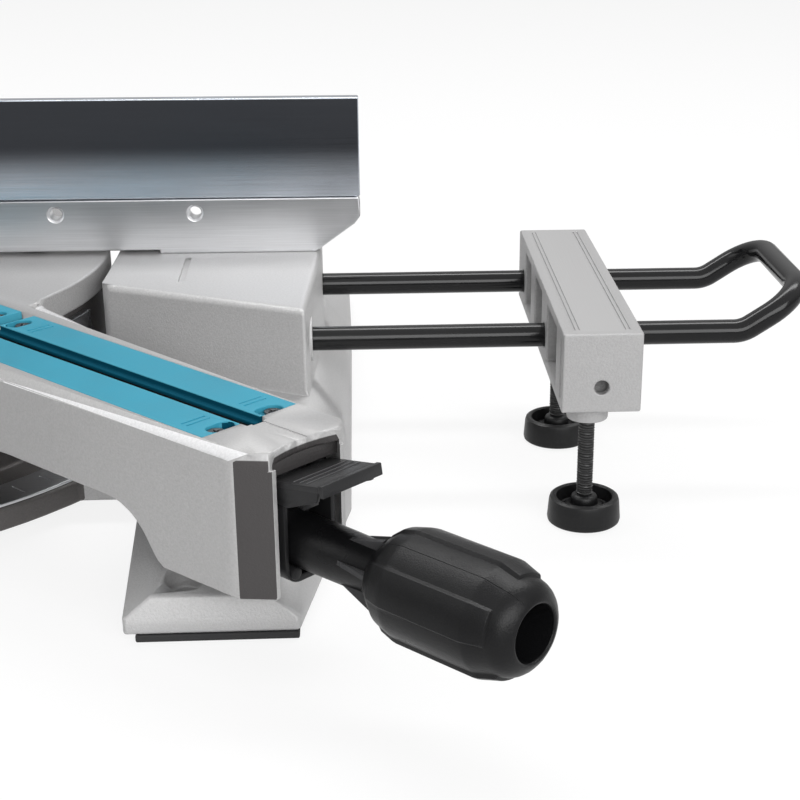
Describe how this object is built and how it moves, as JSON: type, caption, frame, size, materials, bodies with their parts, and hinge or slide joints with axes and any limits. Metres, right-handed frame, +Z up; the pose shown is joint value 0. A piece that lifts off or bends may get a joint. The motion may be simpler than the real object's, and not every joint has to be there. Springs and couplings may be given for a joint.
{
  "type": "sliding mitre saw",
  "caption": "Sliding mitre saw on a cast base with a turntable arm, grip, split fence, levelled extension wings, bevel column and hinged saw head on slide rails.",
  "frame": {"origin": "turntable axis at bench level, the middle of the four bench bolt holes", "axes": "+X to the operator's right, +Y to the back, +Z up; the fence face is the plane Y = 0"},
  "size_m": [1.056, 0.8764, 0.5372],
  "materials": {
    "cast_aluminium": "cast, fine grain, satin",
    "machined_aluminium": "machined, bright",
    "steel": "turned and ground",
    "rod_black": "gloss black coat",
    "black_plastic": "moulded, satin",
    "rubber": "matte",
    "board_teal": "moulded, satin",
    "screw_dark": "blackened steel",
    "housing_grey": "moulded, semi-gloss",
    "bush_bronze": "turned",
    "winding": "lacquered",
    "button_red": "moulded"
  },
  "bodies": {
    "base": {"base_casting": "cast_aluminium", "base_pads": "rubber", "lower_fence": "machined_aluminium", "fence_bolts": "steel", "detent_ring": "steel", "mitre_scale": "machined_aluminium", "pivot_bolt": "steel"},
    "right_rod_clamp": {"right_rod_clamp": "black_plastic"},
    "left_rod_clamp": {"left_rod_clamp": "black_plastic"},
    "turntable": {"turntable": "cast_aluminium", "kerf_boards": "board_teal", "table_screws": "screw_dark", "front_plate": "black_plastic", "lever_pin": "steel"},
    "grip": {"grip_knob": "black_plastic", "grip_rod": "steel"},
    "detent_lever": {"detent_lever": "black_plastic"},
    "detent_plunger": {"detent_plunger": "steel"},
    "column": {"bevel_arm": "cast_aluminium", "bevel_bolt": "steel", "rail_bushes": "bush_bronze"},
    "bevel_lever": {"bevel_lever": "black_plastic"},
    "slide_lock": {"slide_lock": "black_plastic"},
    "carriage": {"slide_rails": "steel", "rail_end_cap": "black_plastic", "head_bracket": "cast_aluminium", "hinge_pin": "steel", "return_spring": "steel"},
    "head": {"gear_housing": "cast_aluminium", "blade_case": "housing_grey", "motor_housing": "housing_grey", "motor_cap": "housing_grey", "stator": "winding", "bearings": "steel", "handle": "black_plastic", "dust_nozzle": "black_plastic", "cord_gland": "rubber"},
    "trigger": {"trigger": "black_plastic"},
    "lock_off_button": {"lock_off_button": "button_red"},
    "shaft_lock": {"shaft_lock": "black_plastic"},
    "latch_pin": {"latch_pin": "black_plastic"},
    "blade": {"saw_blade": "steel", "blade_flanges": "steel", "arbor_bolt": "steel", "spindle": "steel"},
    "armature": {"armature": "winding"},
    "guard": {"lower_guard": "housing_grey"},
    "right_upper_fence": {"right_upper_fence": "machined_aluminium"},
    "left_upper_fence": {"left_upper_fence": "machined_aluminium"},
    "right_fence_knob": {"right_fence_knob": "black_plastic"},
    "left_fence_knob": {"left_fence_knob": "black_plastic"},
    "right_rods": {"right_rods": "rod_black"},
    "right_support": {"right_support": "cast_aluminium"},
    "right_foot_front": {"right_foot_front": "black_plastic"},
    "right_foot_rear": {"right_foot_rear": "black_plastic"},
    "left_rods": {"left_rods": "rod_black"},
    "left_support": {"left_support": "cast_aluminium"},
    "left_foot_front": {"left_foot_front": "black_plastic"},
    "left_foot_rear": {"left_foot_rear": "black_plastic"}
  },
  "joints": [
    {"name": "mitre_turn", "type": "hinge", "parent": "base", "child": "turntable", "pos_m": [0, 0, 0.1], "axis": [0, 0, 1], "range_deg": [-92, 12]},
    {"name": "grip_turn", "type": "hinge", "parent": "turntable", "child": "grip", "pos_m": [0.28284, -0.28284, 0.057], "axis": [0.7071, -0.7071, 0], "range_deg": [0, 180]},
    {"name": "detent_press", "type": "hinge", "parent": "turntable", "child": "detent_lever", "pos_m": [0.27542, -0.27542, 0.085], "axis": [0.7071, 0.7071, 0], "range_deg": [0, 8]},
    {"name": "plunger_slide", "type": "slide", "parent": "turntable", "child": "detent_plunger", "axis": [-0.7071, 0.7071, 0], "range_m": [0, 0.0015]},
    {"name": "bevel_tilt", "type": "hinge", "parent": "turntable", "child": "column", "pos_m": [-0.14142, 0.14142, 0.1], "axis": [-0.7071, 0.7071, 0], "range_deg": [-45, 0]},
    {"name": "bevel_lock_turn", "type": "hinge", "parent": "column", "child": "bevel_lever", "pos_m": [-0.16264, 0.16264, 0.1], "axis": [-0.7071, 0.7071, 0], "range_deg": [0, 30]},
    {"name": "slide_lock_turn", "type": "hinge", "parent": "column", "child": "slide_lock", "pos_m": [-0.13506, 0.22557, 0.262], "axis": [0.7071, 0.7071, 0], "range_deg": [0, 180]},
    {"name": "head_slide", "type": "slide", "parent": "column", "child": "carriage", "axis": [0.7071, -0.7071, 0], "range_m": [0, 0.29]},
    {"name": "head_chop", "type": "hinge", "parent": "carriage", "child": "head", "pos_m": [-0.09405, 0.1393, 0.262], "axis": [0.7071, 0.7071, 0], "range_deg": [0, 40], "stiffness_Nm_per_rad": 30, "springref_deg": -40.11},
    {"name": "guard_swing", "type": "hinge", "parent": "head", "child": "guard", "pos_m": [-0.00635, 0.01908, 0.32793], "axis": [0.7071, 0.7071, 0], "range_deg": [0, 130]},
    {"name": "blade_spin", "type": "hinge", "parent": "head", "child": "blade", "pos_m": [-0.01271, 0.01271, 0.32793], "axis": [0.7071, 0.7071, 0], "continuous": true},
    {"name": "motor_spin", "type": "hinge", "parent": "head", "child": "armature", "pos_m": [0.036, 0.11957, 0.34623], "axis": [0.7071, 0.7071, 0], "continuous": true},
    {"name": "trigger_press", "type": "slide", "parent": "head", "child": "trigger", "axis": [-0.4545, 0.4545, 0.766], "range_m": [0, 0.004], "stiffness_N_per_m": 2000},
    {"name": "lock_off_press", "type": "slide", "parent": "head", "child": "lock_off_button", "axis": [-0.7071, -0.7071, 0], "range_m": [0, 0.003], "stiffness_N_per_m": 1500},
    {"name": "shaft_lock_press", "type": "slide", "parent": "head", "child": "shaft_lock", "axis": [-0.7071, -0.7071, 0], "range_m": [0, 0.002], "stiffness_N_per_m": 2000},
    {"name": "latch_pull", "type": "slide", "parent": "carriage", "child": "latch_pin", "axis": [0.7071, 0.7071, 0], "range_m": [0, 0.008]},
    {"name": "right_fence_slide", "type": "slide", "parent": "base", "child": "right_upper_fence", "axis": [1, 0, 0], "range_m": [0, 0.05]},
    {"name": "right_fence_clamp", "type": "hinge", "parent": "right_upper_fence", "child": "right_fence_knob", "pos_m": [0.168, 0.02, 0.125], "axis": [0, 1, 0], "range_deg": [0, 180]},
    {"name": "right_rod_clamp_turn", "type": "hinge", "parent": "base", "child": "right_rod_clamp", "pos_m": [0.235, 0.04, 0.0765], "axis": [0, 1, 0], "range_deg": [0, 180]},
    {"name": "right_wing_slide", "type": "slide", "parent": "base", "child": "right_rods", "axis": [1, 0, 0], "range_m": [0, 0.025]},
    {"name": "right_support_slide", "type": "slide", "parent": "right_rods", "child": "right_support", "axis": [1, 0, 0], "range_m": [-0.06, 0.05]},
    {"name": "right_front_foot_screw", "type": "slide", "parent": "right_support", "child": "right_foot_front", "axis": [0, 0, 1], "range_m": [0, 0.012]},
    {"name": "right_rear_foot_screw", "type": "slide", "parent": "right_support", "child": "right_foot_rear", "axis": [0, 0, 1], "range_m": [0, 0.012]},
    {"name": "left_fence_slide", "type": "slide", "parent": "base", "child": "left_upper_fence", "axis": [-1, 0, 0], "range_m": [0, 0.05]},
    {"name": "left_fence_clamp", "type": "hinge", "parent": "left_upper_fence", "child": "left_fence_knob", "pos_m": [-0.248, 0.02, 0.125], "axis": [0, 1, 0], "range_deg": [0, 180]},
    {"name": "left_rod_clamp_turn", "type": "hinge", "parent": "base", "child": "left_rod_clamp", "pos_m": [-0.235, 0.04, 0.0765], "axis": [0, 1, 0], "range_deg": [0, 180]},
    {"name": "left_wing_slide", "type": "slide", "parent": "base", "child": "left_rods", "axis": [-1, 0, 0], "range_m": [0, 0.025]},
    {"name": "left_support_slide", "type": "slide", "parent": "left_rods", "child": "left_support", "axis": [-1, 0, 0], "range_m": [-0.06, 0.05]},
    {"name": "left_front_foot_screw", "type": "slide", "parent": "left_support", "child": "left_foot_front", "axis": [0, 0, 1], "range_m": [0, 0.012]},
    {"name": "left_rear_foot_screw", "type": "slide", "parent": "left_support", "child": "left_foot_rear", "axis": [0, 0, 1], "range_m": [0, 0.012]}
  ],
  "couplings": [
    {"joint": "detent_press", "follows": "plunger_slide", "rad_per_m": 93.08},
    {"joint": "guard_swing", "follows": "head_chop", "ratio": 3.25},
    {"joint": "motor_spin", "follows": "blade_spin", "ratio": -4}
  ]
}
